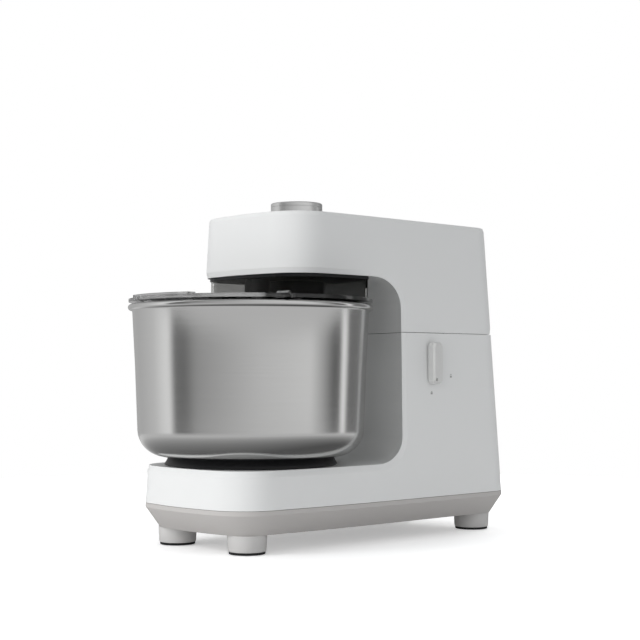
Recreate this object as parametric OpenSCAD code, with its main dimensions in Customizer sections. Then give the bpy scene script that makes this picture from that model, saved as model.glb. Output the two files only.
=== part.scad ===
// Spiral stand mixer: a turning bowl on a base, a column with the motor, and a head that tilts back.
// Every piece is drawn from the bowl's axis, with the front toward -Y and the lever side toward +X,
// and is then moved so that the origin lies on the table under the middle of the machine.

/* [Bowl] */
// Radius of the bowl over its rolled rim
rim_r = 131; // [127:0.5:135]
// Radius of the roll round the rim
rim_roll_r = 3.3; // [2.6:0.1:4]
// Height from the bowl's bottom to the middle of the roll
bowl_h = 157.7; // [150:0.1:172]
// Radius of the bowl's flat bottom
bowl_flat_r = 92; // [84:0.5:96]
// Radius of the curve between the bottom and the side
bowl_curve_r = 29; // [26:0.5:34]
// Thickness of the bowl's steel
bowl_wall = 1.2; // [0.8:0.1:2]

/* [Turntable] */
// Radius of the turntable at its foot
turntable_r = 92; // [88:0.5:95]
// Height of the turntable
turntable_h = 9.1; // [6:0.1:11]
// Gap between the turntable and the base
turntable_gap = 0.6; // [0.4:0.1:1.2]
// Radius of the ring under the bowl that locks into the turntable
lock_ring_r = 62; // [50:1:70]

/* [Base] */
// Height of a foot with its pad
foot_h = 19.7; // [14:0.1:26]
// Radius of a foot where it meets the pan
foot_r = 20.6; // [16:0.1:22]
// Thickness of a rubber pad
pad_t = 2.5; // [1.5:0.1:4]
// Distance of the front feet from the middle plane
front_foot_x = 57.5; // [50:0.5:60]
// Front feet, forward of the bowl's axis
front_foot_y = 54.6; // [48:0.2:58]
// Distance of the rear feet from the middle plane
rear_foot_x = 62; // [54:0.5:66]
// Rear feet, forward of the casing's back
rear_foot_in = 33.4; // [30:0.1:46]
// Height of the pan's sloping side
pan_h = 21.3; // [16:0.1:28]
// Height of the upright band at the pan's top, with the seam above it
pan_band_h = 5; // [3:0.1:8]
// How far the pan slopes in
pan_inset = 15.5; // [8:0.5:18]
// Height of the white base from its lower edge to its top
base_h = 39.3; // [37:0.1:47]
// Reach of the base forward of the bowl's axis
base_front = 98.3; // [94:0.1:104]
// Radius of the base's front corners in plan
base_corner_r = 50; // [44:1:54]

/* [Casing] */
// Half the width of the casing at its widest
side_w = 100; // [97:0.5:104]
// How much each side leans in, per mm of height
side_draft = 0.046; // [0.036:0.002:0.052]
// Depth of the column behind its hollow front, at the casing's widest
column_depth = 156.5; // [154:0.5:166]
// How much the back leans in, per mm of height
rear_draft = 0.05; // [0.04:0.002:0.056]
// Radius of the rear corners in plan
rear_corner_r = 38; // [34:1:42]
// Thickness of the casing's wall
shell_wall = 3; // [2.4:0.2:3.6]
// Gap between the bowl's rim and the hollow front of the column
column_gap = 34.5; // [32:0.5:37]
// Height of the seam under the head, above the top of the base
seam_h = 142.2; // [138:0.5:150]
// Width of the seam
seam_gap = 0.6; // [0.4:0.1:1]

/* [Head] */
// Height of the head in front of the column
head_h = 64.6; // [60:0.1:72]
// Reach of the head's nose forward of the bowl's axis
nose_front = 18; // [14:0.5:20]
// Radius of the nose's corners in plan
nose_corner_r = 45; // [40:1:48]
// Radius of the rounding at the head's lower rear edge, round the hinge
hinge_round_r = 10.5; // [10.2:0.1:11.5]
// Radius of the hinge pin
hinge_pin_r = 3.5; // [3:0.1:4]

/* [Lid] */
// Gap between the bowl's rim and the lid
lid_gap = 2.4; // [1.6:0.1:3.2]
// How far the lid stays inside the bowl's rim
lid_inset = 0.7; // [0.4:0.1:2]
// Thickness of the lid's plate
lid_t = 3; // [2.4:0.1:3.6]
// Height of the clear skirt that joins the lid to the head
skirt_h = 22.6; // [18:0.2:26]
// Distance of the flap's hinge line forward of the bowl's axis
flap_line = 50; // [46:1:56]

/* [Tools] */
// Distance of the hook's axis behind the bowl's axis
hook_y = 66; // [64:0.5:67]
// Radius of the black hub over the hook
hub_r = 31.6; // [28:0.2:33]
// Radius of the hook's coil, to the middle of the rod
hook_coil_r = 37; // [32:0.5:38]
// Radius of the hook's rod
hook_rod_r = 6.5; // [5:0.1:7]
// Distance of the breaker bar behind the bowl's axis
breaker_y = 9; // [7:0.5:10]
// Radius of the breaker bar
breaker_r = 7; // [5:0.1:7.5]
// Gap between the tools and the bowl's bottom
tool_gap = 8; // [6:0.5:14]

/* [Knob] */
// Radius of the knob
knob_r = 28.4; // [25:0.1:31]
// Height of the knob above its ring
knob_h = 15.5; // [14:0.1:20]
// Distance of the knob's axis behind the bowl's axis
knob_y = 66; // [62:0.5:68]

/* [Lever] */
// Length of the locking lever
lever_l = 46.6; // [40:0.2:50]
// Width of the locking lever
lever_w = 15.7; // [13:0.1:18]
// Thickness of the locking lever
lever_t = 6.4; // [5:0.1:8]
// Distance of the lever's axis behind the bowl's axis
lever_y = 187.4; // [184:0.2:190]
// Height of the lever's axis above the top of the base
lever_h = 108.7; // [106:0.1:112]

/* [Drive] */
// Radius of the motor's can
motor_r = 45; // [40:0.5:48]
// Length of the motor's can
motor_l = 86; // [80:1:92]
// Radius of the main shaft
shaft_r = 5; // [4:0.1:6]
// Radius of the pulley under the bowl
bowl_pulley_r = 62; // [54:1:66]
// Radius of the pulley at the foot of the main shaft
main_pulley_r = 12; // [10:0.5:14]
// Radius of the pulley on the hook's spindle
hook_pulley_r = 48; // [42:1:52]
// Radius of the pulley at the top of the head's shaft
head_pulley_r = 14; // [11:0.5:16]
// Width of the belts
belt_w = 10; // [8:0.5:12]
// Thickness of the belts
belt_t = 2; // [1.5:0.1:2.5]

/* [Hidden] */

$fn = 96;
eps = 0.01;
// Clearances: a running shaft in its bore, a piece beside another that moves, a seated piece
run_gap = 0.05;
side_gap = 0.4;
seat_gap = 0.02;

// Heights, from the table up
pan_z = foot_h;
slope_z = pan_z + pan_h;
casing_z = slope_z + pan_band_h;
base_z = casing_z + base_h;
base_edge = 6.3;
base_edge_in = 1.8;
bowl_z = base_z + turntable_gap + turntable_h;
rim_z = bowl_z + bowl_h;
lid_z = rim_z + rim_roll_r + lid_gap;
lid_top = lid_z + lid_t;
plate_t = 3.3;
head_z = lid_top + skirt_h + plate_t;
head_edge = 5.7;
head_edge_in = 1.3;
nose_lean = 1.8;
top_fillet = 3;
top_z = head_z + head_h;
seam_z = base_z + seam_h;

// Places in plan
barrel_r = rim_r + column_gap;
rear_reach = barrel_r + column_depth;
rear_foot_y = rear_reach - rear_foot_in;
axis_y = -(rear_reach - rim_r) / 2;
lid_r = rim_r - lid_inset;
barrel_low_r = 29;
barrel_high_r = 34;
belly_y = 100;
belly = 0.00027;
front_sag = 3.5;
column_y = (barrel_r + rear_y(seam_z)) / 2;
hinge_z = seam_z + seam_gap + hinge_round_r;
hinge_y = rear_y(hinge_z) - hinge_round_r - 0.2;

// Moves what is drawn from the bowl's axis to the machine's own origin
module on_table() translate([0, axis_y, 0]) children();

// Plan outlines of the casing
function half_width(z) = side_w - side_draft * (z - casing_z);
function rear_y(z) = rear_reach - rear_draft * (z - casing_z);
function side_x(z, y) = half_width(z) - belly * pow(max(0, belly_y - y), 2);
function arc(x, y, r, from, to, steps = 8) =
    [for (i = [0:steps]) let (a = from + (to - from) * i / steps) [x + r * cos(a), y + r * sin(a)]];
function half_plan(z, front, corner, inset) =
    let (corner_y = front + front_sag + corner,
        corner_x = side_x(z, corner_y) - corner,
        rear_x = half_width(z) - rear_corner_r)
    concat(
        [[0, front + inset], [corner_x / 2, front + front_sag / 4 + inset]],
        arc(corner_x, corner_y, corner - inset, -90, 0),
        [for (i = [1:3]) let (y = corner_y + (belly_y - corner_y) * i / 3) [side_x(z, y) - inset, y]],
        arc(rear_x, rear_y(z) - rear_corner_r, rear_corner_r - inset, 0, 90));
function plan(z, front, corner, inset) =
    let (half = half_plan(z, front, corner, inset))
    concat(half, [for (i = [len(half) - 1:-1:1]) [-half[i][0], half[i][1]]]);

module slice(z, front, corner, inset = 0)
    translate([0, 0, z]) linear_extrude(eps) polygon(plan(z, front, corner, inset));

// The base of the casing, as a solid that is smaller all round by a wall
module base_block(wall = 0) {
    low = wall > 0 ? 1 : 0;
    hull() {
        slice(casing_z - low, -base_front, base_corner_r, wall);
        slice(base_z - base_edge - wall / 2, -base_front + 1.5, base_corner_r, wall);
        slice(base_z - wall - eps, -base_front + 1.5, base_corner_r, base_edge_in + wall);
    }
}

// The rear block from one height to another, which the column and the head's back are cut from
block_front = 100;
block_corner = 12;
module rear_block(low_z, high_z, wall = 0)
    hull() {
        slice(low_z, block_front, block_corner, wall);
        slice(high_z - eps, block_front, block_corner, wall);
    }

module rear_block_rounded(low_z, wall = 0)
    hull() {
        slice(low_z, block_front, block_corner, wall);
        slice(top_z - top_fillet - wall / 2, block_front, block_corner, wall);
        slice(top_z - wall - eps, block_front, block_corner, top_fillet + wall);
    }

// The nose of the head
module nose_block(wall = 0)
    hull() {
        slice(head_z + wall, -nose_front, nose_corner_r, head_edge_in + wall);
        slice(head_z + head_edge + wall / 2, -nose_front, nose_corner_r, wall);
        slice(top_z - top_fillet - wall / 2, -nose_front + nose_lean, nose_corner_r, wall);
        slice(top_z - wall - eps, -nose_front + nose_lean, nose_corner_r, top_fillet + wall);
    }

// The round space that the bowl stands in, grown by a wall
module barrel(grow = 0) {
    r = barrel_r + grow;
    low = barrel_low_r + grow;
    high = barrel_high_r + grow;
    rotate_extrude() polygon(concat(
        [[0, base_z - grow]],
        arc(r - low, base_z - grow + low, low, -90, 0),
        arc(r - high, head_z + grow - high, high, 0, 90),
        [[0, head_z + grow]]));
}

// Takes away the head's sharp lower rear edge, leaving the rounding about the hinge
module hinge_edge(r) difference() {
    translate([-side_w, hinge_y, seam_z - 2]) cube([2 * side_w, 40, hinge_z - seam_z + 2]);
    translate([0, hinge_y, hinge_z]) across(2 * side_w + 2) circle(r);
}

// A solid across the machine, from an outline in the Y-Z plane
module across(width) rotate([90, 0, 90]) translate([0, 0, -width / 2]) linear_extrude(width) children();
// The same from x0 to x1
module across_from(x0, x1) rotate([90, 0, 90]) translate([0, 0, x0]) linear_extrude(x1 - x0) children();
// Both sides of the middle plane
module both_sides() { children(); mirror([1, 0, 0]) children(); }
module at(x, y, z = 0) translate([x, y, z]) children();
module tube(outer, inner, h) difference() {
    cylinder(r = outer, h = h);
    translate([0, 0, -1]) cylinder(r = inner, h = h + 2);
}

// ---- Screws and posts ----
screw_r = 2;
screw_head_r = 4;
screw_head_h = 2.4;
post_r = 5.5;
screw_bite = 10;
// A screw that points up, with the seat of its head at z = 0
module screw(reach) {
    translate([0, 0, -screw_head_h]) cylinder(r = screw_head_r, h = screw_head_h);
    cylinder(r = screw_r, h = reach);
}

// The chassis: a lower plate under the top of the base, posts, and an upper plate in the column
chassis_t = 4;
chassis_z = base_z - shell_wall - 6 - chassis_t;
upper_plate_z = seam_z - shell_wall - 14 - chassis_t;
boss_x = 62;
boss_ys = [-24, 104];
post_x = 58;
post_dy = 36;
pan_post_x = 72;
pan_post_ys = [-30, rear_reach - 60];
pan_floor = 3;

// ---- White casing of the base and column ----
latch_x = 80;
latch_slot = [24, 46];
lever_z = base_z + lever_h;
bush_r = 8;
bush_l = 8;
bush_x = half_width(lever_z) - 1 - bush_l;
lever_bore_r = 5;
coupling_hole_r = 21;
ear_x = 51;
ear_t = 8;
ear_front = 32;
ear_back = 13;

module body_shell() color("white") on_table() difference() {
    union() {
        difference() {
            union() {
                base_block();
                difference() {
                    rear_block(base_z - base_edge, seam_z);
                    barrel();
                }
            }
            difference() {
                union() {
                    base_block(shell_wall);
                    rear_block(base_z - base_edge - shell_wall / 2, seam_z - shell_wall, shell_wall);
                }
                barrel(shell_wall);
            }
        }
        // Bosses that the chassis hangs from
        both_sides() for (y = boss_ys)
            at(boss_x, y, chassis_z + chassis_t) cylinder(r = post_r, h = base_z - chassis_z - chassis_t - 1);
        // Posts that the pan is screwed to, each with a rib to the wall
        both_sides() for (y = pan_post_ys) {
            at(pan_post_x, y, pan_z + pan_floor) cylinder(r = post_r, h = casing_z - pan_z + 8);
            at(pan_post_x, y - 1.5, casing_z + pan_lip_h + 1) cube([side_x(casing_z, y) - pan_post_x - 1, 3, 10]);
            }
        // Boss that holds the lever's bush
        at(bush_x, lever_y, lever_z) rotate([0, 90, 0]) cylinder(r = bush_r + 3, h = bush_l);
    }
    // Openings in the top of the column, for the coupling, the latch and the hinge's ears
    at(0, column_y, seam_z - shell_wall - 1) cylinder(r = coupling_hole_r, h = shell_wall + 2);
    at(latch_x - latch_slot[0] / 2, lever_y - latch_slot[1] / 2, seam_z - shell_wall - 1)
        cube([latch_slot[0] - 4, latch_slot[1], shell_wall + 2]);
    both_sides() at(ear_x - ear_t / 2 - 1, hinge_y - ear_front - 2, seam_z - shell_wall - 1)
        cube([ear_t + 2, ear_front - ear_back + 4, shell_wall + 2]);
    // Hole in the top of the base for the bowl's bearing housing
    at(0, 0, base_z - shell_wall - 1) cylinder(r = housing_r + side_gap, h = shell_wall + 2);
    // Seat of the lever's bush
    at(bush_x - 1, lever_y, lever_z) rotate([0, 90, 0]) {
        cylinder(r = bush_r + seat_gap, h = bush_l + 1);
        cylinder(r = lever_bore_r + side_gap, h = bush_l + 10);
    }
    // Pilot holes for the screws
    both_sides() for (y = boss_ys) at(boss_x, y, chassis_z) cylinder(r = screw_r, h = chassis_t + screw_bite - 4);
    both_sides() for (y = pan_post_ys) at(pan_post_x, y, pan_z) cylinder(r = screw_r, h = pan_floor + screw_bite);
    // Hole at the back for the cord's inlet
    at(inlet_x, rear_y(inlet_z) + 5, inlet_z) rotate([90, 0, 0]) cylinder(r = inlet_r + seat_gap, h = 14);
}

// ---- Grey pan under the base ----
pan_wall = 3;
pan_seam = 0.4;
pan_lip_h = 3;
pan_lip_in = shell_wall + side_gap;
pan_void_in = pan_lip_in + pan_wall - 1;
module base_pan() color("gainsboro") on_table() difference() {
    union() {
        hull() {
            slice(pan_z, -base_front, base_corner_r, pan_inset);
            slice(slope_z, -base_front, base_corner_r);
            slice(casing_z - pan_seam - eps, -base_front, base_corner_r);
        }
        // Lip that stands inside the casing
        hull() {
            slice(casing_z - 1, -base_front, base_corner_r, pan_lip_in);
            slice(casing_z + pan_lip_h, -base_front, base_corner_r, pan_lip_in);
        }
    }
    hull() {
        slice(pan_z + pan_floor, -base_front, base_corner_r, pan_inset + pan_wall - 1);
        slice(slope_z, -base_front, base_corner_r, pan_void_in);
        slice(casing_z + pan_lip_h + 1, -base_front, base_corner_r, pan_void_in);
    }
    both_sides() for (y = pan_post_ys) at(pan_post_x, y, pan_z - 1) {
        cylinder(r = screw_r + side_gap, h = pan_floor + 2);
        cylinder(r = screw_head_r + side_gap, h = 1 + 1.2);
    }
    for_feet() at(0, 0, pan_z - 1) cylinder(r = screw_r, h = pan_floor + 2);
}

module for_feet() both_sides() {
    at(front_foot_x, -front_foot_y) children();
    at(rear_foot_x, rear_foot_y) children();
}

// ---- Feet ----
foot_taper = 1;
pad_r = foot_r - foot_taper - 0.8;
module feet() color("silver") on_table() for_feet() difference() {
    at(0, 0, pad_t) cylinder(r1 = foot_r - foot_taper, r2 = foot_r, h = foot_h - pad_t);
    at(0, 0, -1) cylinder(r = screw_r + side_gap, h = foot_h + 2);
    at(0, 0, pad_t - 1) cylinder(r = screw_head_r + 1, h = 1 + foot_h - pad_t - 6);
}
module foot_pads() color("black") on_table() for_feet() cylinder(r = pad_r, h = pad_t);
module foot_screws() color("dimgray") on_table() for_feet() at(0, 0, foot_h - 6) screw(6 + pan_floor + 2);
module pan_screws() color("dimgray") on_table() both_sides() for (y = pan_post_ys)
    at(pan_post_x, y, pan_z + 1.2) {
        at(0, 0, -1.2) cylinder(r1 = screw_head_r, r2 = screw_r, h = 1.2);
        cylinder(r = screw_r, h = pan_floor + screw_bite - 2.4);
    }

// ---- Inlet where a cord goes in at the back ----
inlet_r = 7;
inlet_x = -60;
inlet_z = 58;
module cord_inlet() color("dimgray") on_table() at(inlet_x, rear_y(inlet_z), inlet_z) rotate([90, 0, 0]) {
    difference() {
        union() {
            at(0, 0, -0.4) cylinder(r = inlet_r, h = 9);
            at(0, 0, shell_wall + 2) cylinder(r = inlet_r + 3, h = 3);
        }
        at(0, 0, -2) cylinder(r = 3.5, h = 14);
    }
}

// ---- Chassis ----
housing_r = 18;
spindle_r = 6;
bearing_r = 14;
bearing_h = 8;
main_bearing_r = 11;
main_bearing_h = 7;
module chassis() color("darkgray") on_table() difference() {
    union() {
        at(-boss_x - 10, boss_ys[0] - 12, chassis_z) cube([2 * boss_x + 20, rear_reach - 32 - boss_ys[0], chassis_t]);
        both_sides() for (s = [-1, 1]) at(post_x, column_y + s * post_dy, chassis_z + 1)
            cylinder(r = 5, h = upper_plate_z - chassis_z);
        at(-post_x - 7, column_y - post_dy - 8, upper_plate_z)
            cube([2 * post_x + 14, 2 * post_dy + 16, chassis_t]);
        at(0, column_y, upper_plate_z - 6) cylinder(r = main_bearing_r + 3, h = 7);
    }
    at(0, 0, chassis_z - 1) cylinder(r = housing_r + seat_gap, h = chassis_t + 2);
    at(0, column_y, chassis_z - 1) cylinder(r = shaft_r + 3, h = chassis_t + 2);
    at(0, column_y, upper_plate_z - 8) cylinder(r = main_bearing_r + seat_gap, h = chassis_t + 12);
    both_sides() for (y = boss_ys) at(boss_x, y, chassis_z - 1) cylinder(r = screw_r + side_gap, h = chassis_t + 2);
    for (a = motor_screw_angles) at(0, column_y) rotate(a) at(motor_screw_r, 0, upper_plate_z - 1)
        cylinder(r = screw_r + side_gap, h = chassis_t + 2);
}
module chassis_screws() color("dimgray") on_table() both_sides() for (y = boss_ys)
    at(boss_x, y, chassis_z) screw(chassis_t + screw_bite - 5);

// ---- Bearing housing and bearings under the bowl ----
housing_low = chassis_z - 8;
module bowl_bearing_housing() color("gray") on_table() difference() {
    union() {
        at(0, 0, housing_low) cylinder(r = housing_r, h = base_z - housing_low);
        at(0, 0, chassis_z + chassis_t) cylinder(r = housing_r + 5, h = 2);
    }
    at(0, 0, housing_low - 1) cylinder(r = bearing_r - 2, h = 50);
    at(0, 0, housing_low + 1) cylinder(r = bearing_r + seat_gap, h = 50);
}
// A ball bearing, with its two rings in one turned outline
module bearing(outer, inner, h) difference() {
    cylinder(r = outer, h = h);
    at(0, 0, -1) cylinder(r = inner, h = h + 2);
    for (z = [-1, h - 0.6]) at(0, 0, z) tube((outer + inner) / 2 + 1.6, (outer + inner) / 2 - 1.6, 1.6);
}
module bowl_bearings() color("silver") on_table()
    for (z = [housing_low + 1, base_z - bearing_h]) at(0, 0, z) bearing(bearing_r, spindle_r + run_gap, bearing_h - 1);

// ---- Motor ----
motor_z = upper_plate_z - 6 - 8 - motor_l;
motor_screw_r = 28;
motor_screw_angles = [45, 135, 225, 315];
motor_can_t = 2;
module motor_can() color("slategray") on_table() at(0, column_y, motor_z) difference() {
    cylinder(r = motor_r, h = motor_l);
    at(0, 0, motor_can_t) cylinder(r = motor_r - motor_can_t, h = motor_l);
    at(0, 0, -1) cylinder(r = shaft_r + 2, h = 10);
    for (a = [0:45:315]) rotate(a) at(motor_r - 14, 0, -1) cylinder(r = 4, h = motor_can_t + 2);
}
// The end plate closes the can and carries it from the upper plate on four pillars
module motor_end_plate() color("darkgray") on_table() at(0, column_y, motor_z + motor_l) difference() {
    union() {
        cylinder(r = motor_r, h = 5);
        for (a = motor_screw_angles) rotate(a) at(motor_screw_r, 0) cylinder(r = 5, h = 14);
    }
    at(0, 0, -1) cylinder(r = shaft_r + 1, h = 10);
    for (a = motor_screw_angles) rotate(a) at(motor_screw_r, 0, 4) cylinder(r = screw_r, h = 12);
}
module motor_screws() color("dimgray") on_table() for (a = motor_screw_angles)
    at(0, column_y, upper_plate_z + chassis_t) rotate(a) at(motor_screw_r, 0) mirror([0, 0, 1]) screw(chassis_t + 8);

rotor_gap = 6;
module motor_rotor() color("peru") on_table() at(0, column_y, motor_z + 14) difference() {
    union() {
        cylinder(r = motor_r - motor_can_t - rotor_gap, h = motor_l - 30);
        at(0, 0, motor_l - 30) cylinder(r = 14, h = 8);
    }
    at(0, 0, -1) cylinder(r = shaft_r, h = motor_l);
    for (a = [0:30:330]) rotate(a) at(motor_r - motor_can_t - rotor_gap, 0, -1) cylinder(r = 2.2, h = motor_l - 28);
}

// ---- Main shaft, from the belt in the base to the coupling at the seam ----
belt_gap = 0.3;
pulley_lip = 2;
belt_rise = 0.5;
bowl_belt_z = housing_low - 4 - belt_w;
coupling_r = 16;
coupling_t = 5;
lug_h = 5;
lower_coupling_z = seam_z - shell_wall - coupling_t - 3;
module main_shaft() color("silver") on_table() at(0, column_y, bowl_belt_z - 4)
    cylinder(r = shaft_r, h = lower_coupling_z + coupling_t - bowl_belt_z + 4);
module main_bearing() color("silver") on_table() at(0, column_y, upper_plate_z - 4)
    bearing(main_bearing_r, shaft_r + run_gap, main_bearing_h);

// A flat-belt pulley with a lip above and below, its bore the size of its shaft
module pulley(r, bore, web = true) difference() {
    union() {
        cylinder(r = r, h = belt_w + 1);
        for (z = [-1.1, belt_w + 0.9]) at(0, 0, z) cylinder(r = r + pulley_lip, h = 1.2);
    }
    at(0, 0, -3) cylinder(r = bore, h = belt_w + 6);
    if (web && r > 30) for (a = [0:60:300]) rotate(a) at(r * 0.58, 0, -3) cylinder(r = r * 0.2, h = belt_w + 6);
}
module main_pulley() color("dimgray") on_table() at(0, column_y, bowl_belt_z) pulley(main_pulley_r, shaft_r);

// Half a dog coupling: a disc with three lugs, and gaps for the other half's lugs
lug_in = 8;
lug_angle = 48;
module coupling_half(lugs_up) {
    difference() {
        cylinder(r = coupling_r, h = coupling_t);
        at(0, 0, -1) cylinder(r = shaft_r, h = coupling_t + 2);
    }
    for (a = [0:120:240]) rotate(a) at(0, 0, lugs_up ? coupling_t - eps : -lug_h + eps)
        rotate_extrude(angle = lug_angle) at(lug_in, 0) square([coupling_r - lug_in - 0.5, lug_h]);
}
module lower_coupling() color("dimgray") on_table() at(0, column_y, lower_coupling_z) coupling_half(true);

// ---- Belts ----
// A belt round two pulleys whose axes are a distance apart along Y
module belt(r_front, r_back, distance) linear_extrude(belt_w) difference() {
    hull() { circle(r_front + belt_gap + belt_t); at(0, distance) circle(r_back + belt_gap + belt_t); }
    hull() { circle(r_front + belt_gap); at(0, distance) circle(r_back + belt_gap); }
}
module bowl_belt() color("black") on_table() at(0, 0, bowl_belt_z + belt_rise)
    belt(bowl_pulley_r, main_pulley_r, column_y, $fn = 64);

// ---- Turning parts under the bowl ----
module bowl_spindle() color("silver") on_table() {
    at(0, 0, bowl_belt_z - 3) cylinder(r = spindle_r, h = base_z + turntable_gap - bowl_belt_z + 3);
    at(0, 0, base_z + turntable_gap) cylinder(r = spindle_r - 1, h = turntable_h - lock_depth - 0.6);
}
module bowl_pulley() color("dimgray") on_table() at(0, 0, bowl_belt_z) pulley(bowl_pulley_r, spindle_r);

turntable_taper = 5.2;
lock_depth = 3;
lock_ring_w = 5;
lock_tab = 6;
module turntable() color("black") on_table() difference() {
    at(0, 0, base_z + turntable_gap) cylinder(r1 = turntable_r, r2 = turntable_r - turntable_taper, h = turntable_h);
    at(0, 0, bowl_z - lock_depth - 0.3) cylinder(r = lock_ring_r + side_gap, h = lock_depth + 2);
    for (a = [0:120:240]) rotate(a) at(lock_ring_r - 2, -lock_tab - side_gap, bowl_z - lock_depth - 0.3)
        cube([lock_tab + 2 + side_gap, 2 * (lock_tab + side_gap), lock_depth + 2]);
    at(0, 0, base_z) cylinder(r = spindle_r - 1, h = turntable_h);
}
// Ring welded under the bowl, with three tabs that lock into the turntable
module bowl_lock_ring() color("silver") on_table() {
    at(0, 0, bowl_z - lock_depth) tube(lock_ring_r, lock_ring_r - lock_ring_w, lock_depth);
    for (a = [0:120:240]) rotate(a) at(lock_ring_r - 1, -lock_tab, bowl_z - lock_depth)
        cube([lock_tab + 0.6, 2 * lock_tab, lock_depth]);
}

// ---- Bowl ----
rim_centre_r = rim_r - rim_roll_r;
bowl_top_r = rim_centre_r - bowl_wall;
module bowl() color("lightgray") on_table() at(0, 0, bowl_z) rotate_extrude() difference() {
    union() {
        polygon(concat([[0, 0]], arc(bowl_flat_r, bowl_curve_r, bowl_curve_r, -90, 0, 10),
            [[bowl_top_r, bowl_h], [0, bowl_h]]));
        at(rim_centre_r, bowl_h) circle(rim_roll_r);
    }
    polygon(concat([[-1, bowl_wall]], arc(bowl_flat_r, bowl_curve_r, bowl_curve_r - bowl_wall, -90, 0, 10),
        [[bowl_top_r - bowl_wall, bowl_h], [bowl_top_r - bowl_wall, bowl_h + 9], [-1, bowl_h + 9]]));
}

// ---- Hinge at the rear of the seam ----
knuckle_r = hinge_round_r - shell_wall - 0.5;
pin_end = ear_x + ear_t / 2 + 3;
module hinge_bracket() color("darkgray") on_table() difference() {
    union() {
        both_sides() across_from(ear_x - ear_t / 2, ear_x + ear_t / 2) {
            polygon([[hinge_y - ear_front, upper_plate_z + chassis_t], [hinge_y - ear_back, upper_plate_z + chassis_t],
                [hinge_y - ear_back, seam_z - 0.2], [hinge_y - 5, hinge_z - 4.2], [hinge_y, hinge_z],
                [hinge_y, hinge_z + knuckle_r], [hinge_y - ear_front, seam_z + 4]]);
            at(hinge_y, hinge_z) circle(knuckle_r);
        }
        at(-ear_x, hinge_y - ear_front, upper_plate_z + chassis_t) cube([2 * ear_x, ear_front - ear_back, 3]);
    }
    at(0, hinge_y, hinge_z) across(2 * pin_end) circle(hinge_pin_r + seat_gap);
}
module hinge_pin() color("silver") on_table() at(0, hinge_y, hinge_z) difference() {
    across(2 * pin_end) circle(hinge_pin_r);
    both_sides() across_from(pin_end - 2.2, pin_end - 1.2) difference() {
        circle(hinge_pin_r + 1);
        circle(hinge_pin_r - 0.7);
    }
}
module pin_clips() color("dimgray") on_table() at(0, hinge_y, hinge_z)
    both_sides() across_from(pin_end - 2.1, pin_end - 1.3) difference() {
        circle(hinge_pin_r + 2);
        circle(hinge_pin_r - 0.7 + seat_gap);
    }

// ---- Locking lever and its latch ----
lever_x = half_width(lever_z - lever_l / 2) + 0.8;
module lever_bush() color("dimgray") on_table() at(bush_x, lever_y, lever_z)
    rotate([0, 90, 0]) tube(bush_r, lever_bore_r + run_gap, bush_l);
module lever_shaft() color("silver") on_table() at(0, lever_y, lever_z) rotate([0, 90, 0])
    at(0, 0, latch_x - 2) cylinder(r = lever_bore_r, h = lever_x - latch_x + 2);
cam_t = 4;
module latch_cam() color("gray") on_table() at(0, lever_y, lever_z) across_from(latch_x - 2, latch_x - 2 + cam_t)
    difference() {
        union() {
            circle(9);
            at(-4, 0) square([8, 20]);
            at(-4, 17) square([13, 7]);
        }
        circle(lever_bore_r);
    }
module lock_lever() color("silver") on_table() at(lever_x, lever_y, lever_z) {
    pill(lever_w, lever_l, 0, lever_t - 1.6);
    hull() {
        pill(lever_w, lever_l, lever_t - 1.7, 0.1);
        pill(lever_w - 3, lever_l - 3, lever_t - 0.1, 0.1);
    }
}
// An upright slab with rounded corners, facing +X
module pill(w, l, x, t) at(x, 0) rotate([90, 0, 90]) linear_extrude(t) {
    r = w * 0.34;
    square([w - 2 * r, l], center = true);
    square([w, l - 2 * r], center = true);
    for (sy = [-1, 1], sz = [-1, 1]) at(sy * (w / 2 - r), sz * (l / 2 - r)) circle(r, $fn = 32);
}

// ---- White casing of the head ----
frame_t = 4;
frame_z = head_z + 13;
frame_boss_x = 56;
frame_boss_ys = [36, 118];
spindle_housing_r = 20;
module head_shell() color("white") on_table() difference() {
    union() {
        difference() {
            union() {
                nose_block();
                difference() {
                    rear_block_rounded(seam_z + seam_gap);
                    barrel();
                    hinge_edge(hinge_round_r);
                }
            }
            difference() {
                union() {
                    nose_block(shell_wall);
                    difference() {
                        rear_block_rounded(seam_z - 1, shell_wall);
                        hinge_edge(hinge_round_r - shell_wall);
                    }
                }
                barrel(shell_wall);
            }
        }
        both_sides() for (y = frame_boss_ys)
            at(frame_boss_x, y, head_z + 1) cylinder(r = post_r, h = frame_z - head_z - 1);
    }
    at(0, hook_y, head_z - 1) cylinder(r = spindle_housing_r + side_gap, h = shell_wall + 3);
    at(0, breaker_y, head_z - 1) cylinder(r = breaker_post_r + seat_gap, h = shell_wall + 3);
    at(0, knob_y, top_z - shell_wall - 1) cylinder(r = stem_r + 1.5, h = shell_wall + 2);
    both_sides() for (y = frame_boss_ys) at(frame_boss_x, y, head_z - 1) cylinder(r = screw_r + side_gap, h = frame_z - head_z + 2);
    both_sides() for (y = frame_boss_ys) at(frame_boss_x, y, head_z - 1) cylinder(r = screw_head_r + side_gap, h = 1 + screw_head_h);
}
module frame_screws() color("dimgray") on_table() both_sides() for (y = frame_boss_ys)
    at(frame_boss_x, y, head_z + screw_head_h) screw(frame_z + frame_t - head_z - screw_head_h - 0.5);

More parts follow.
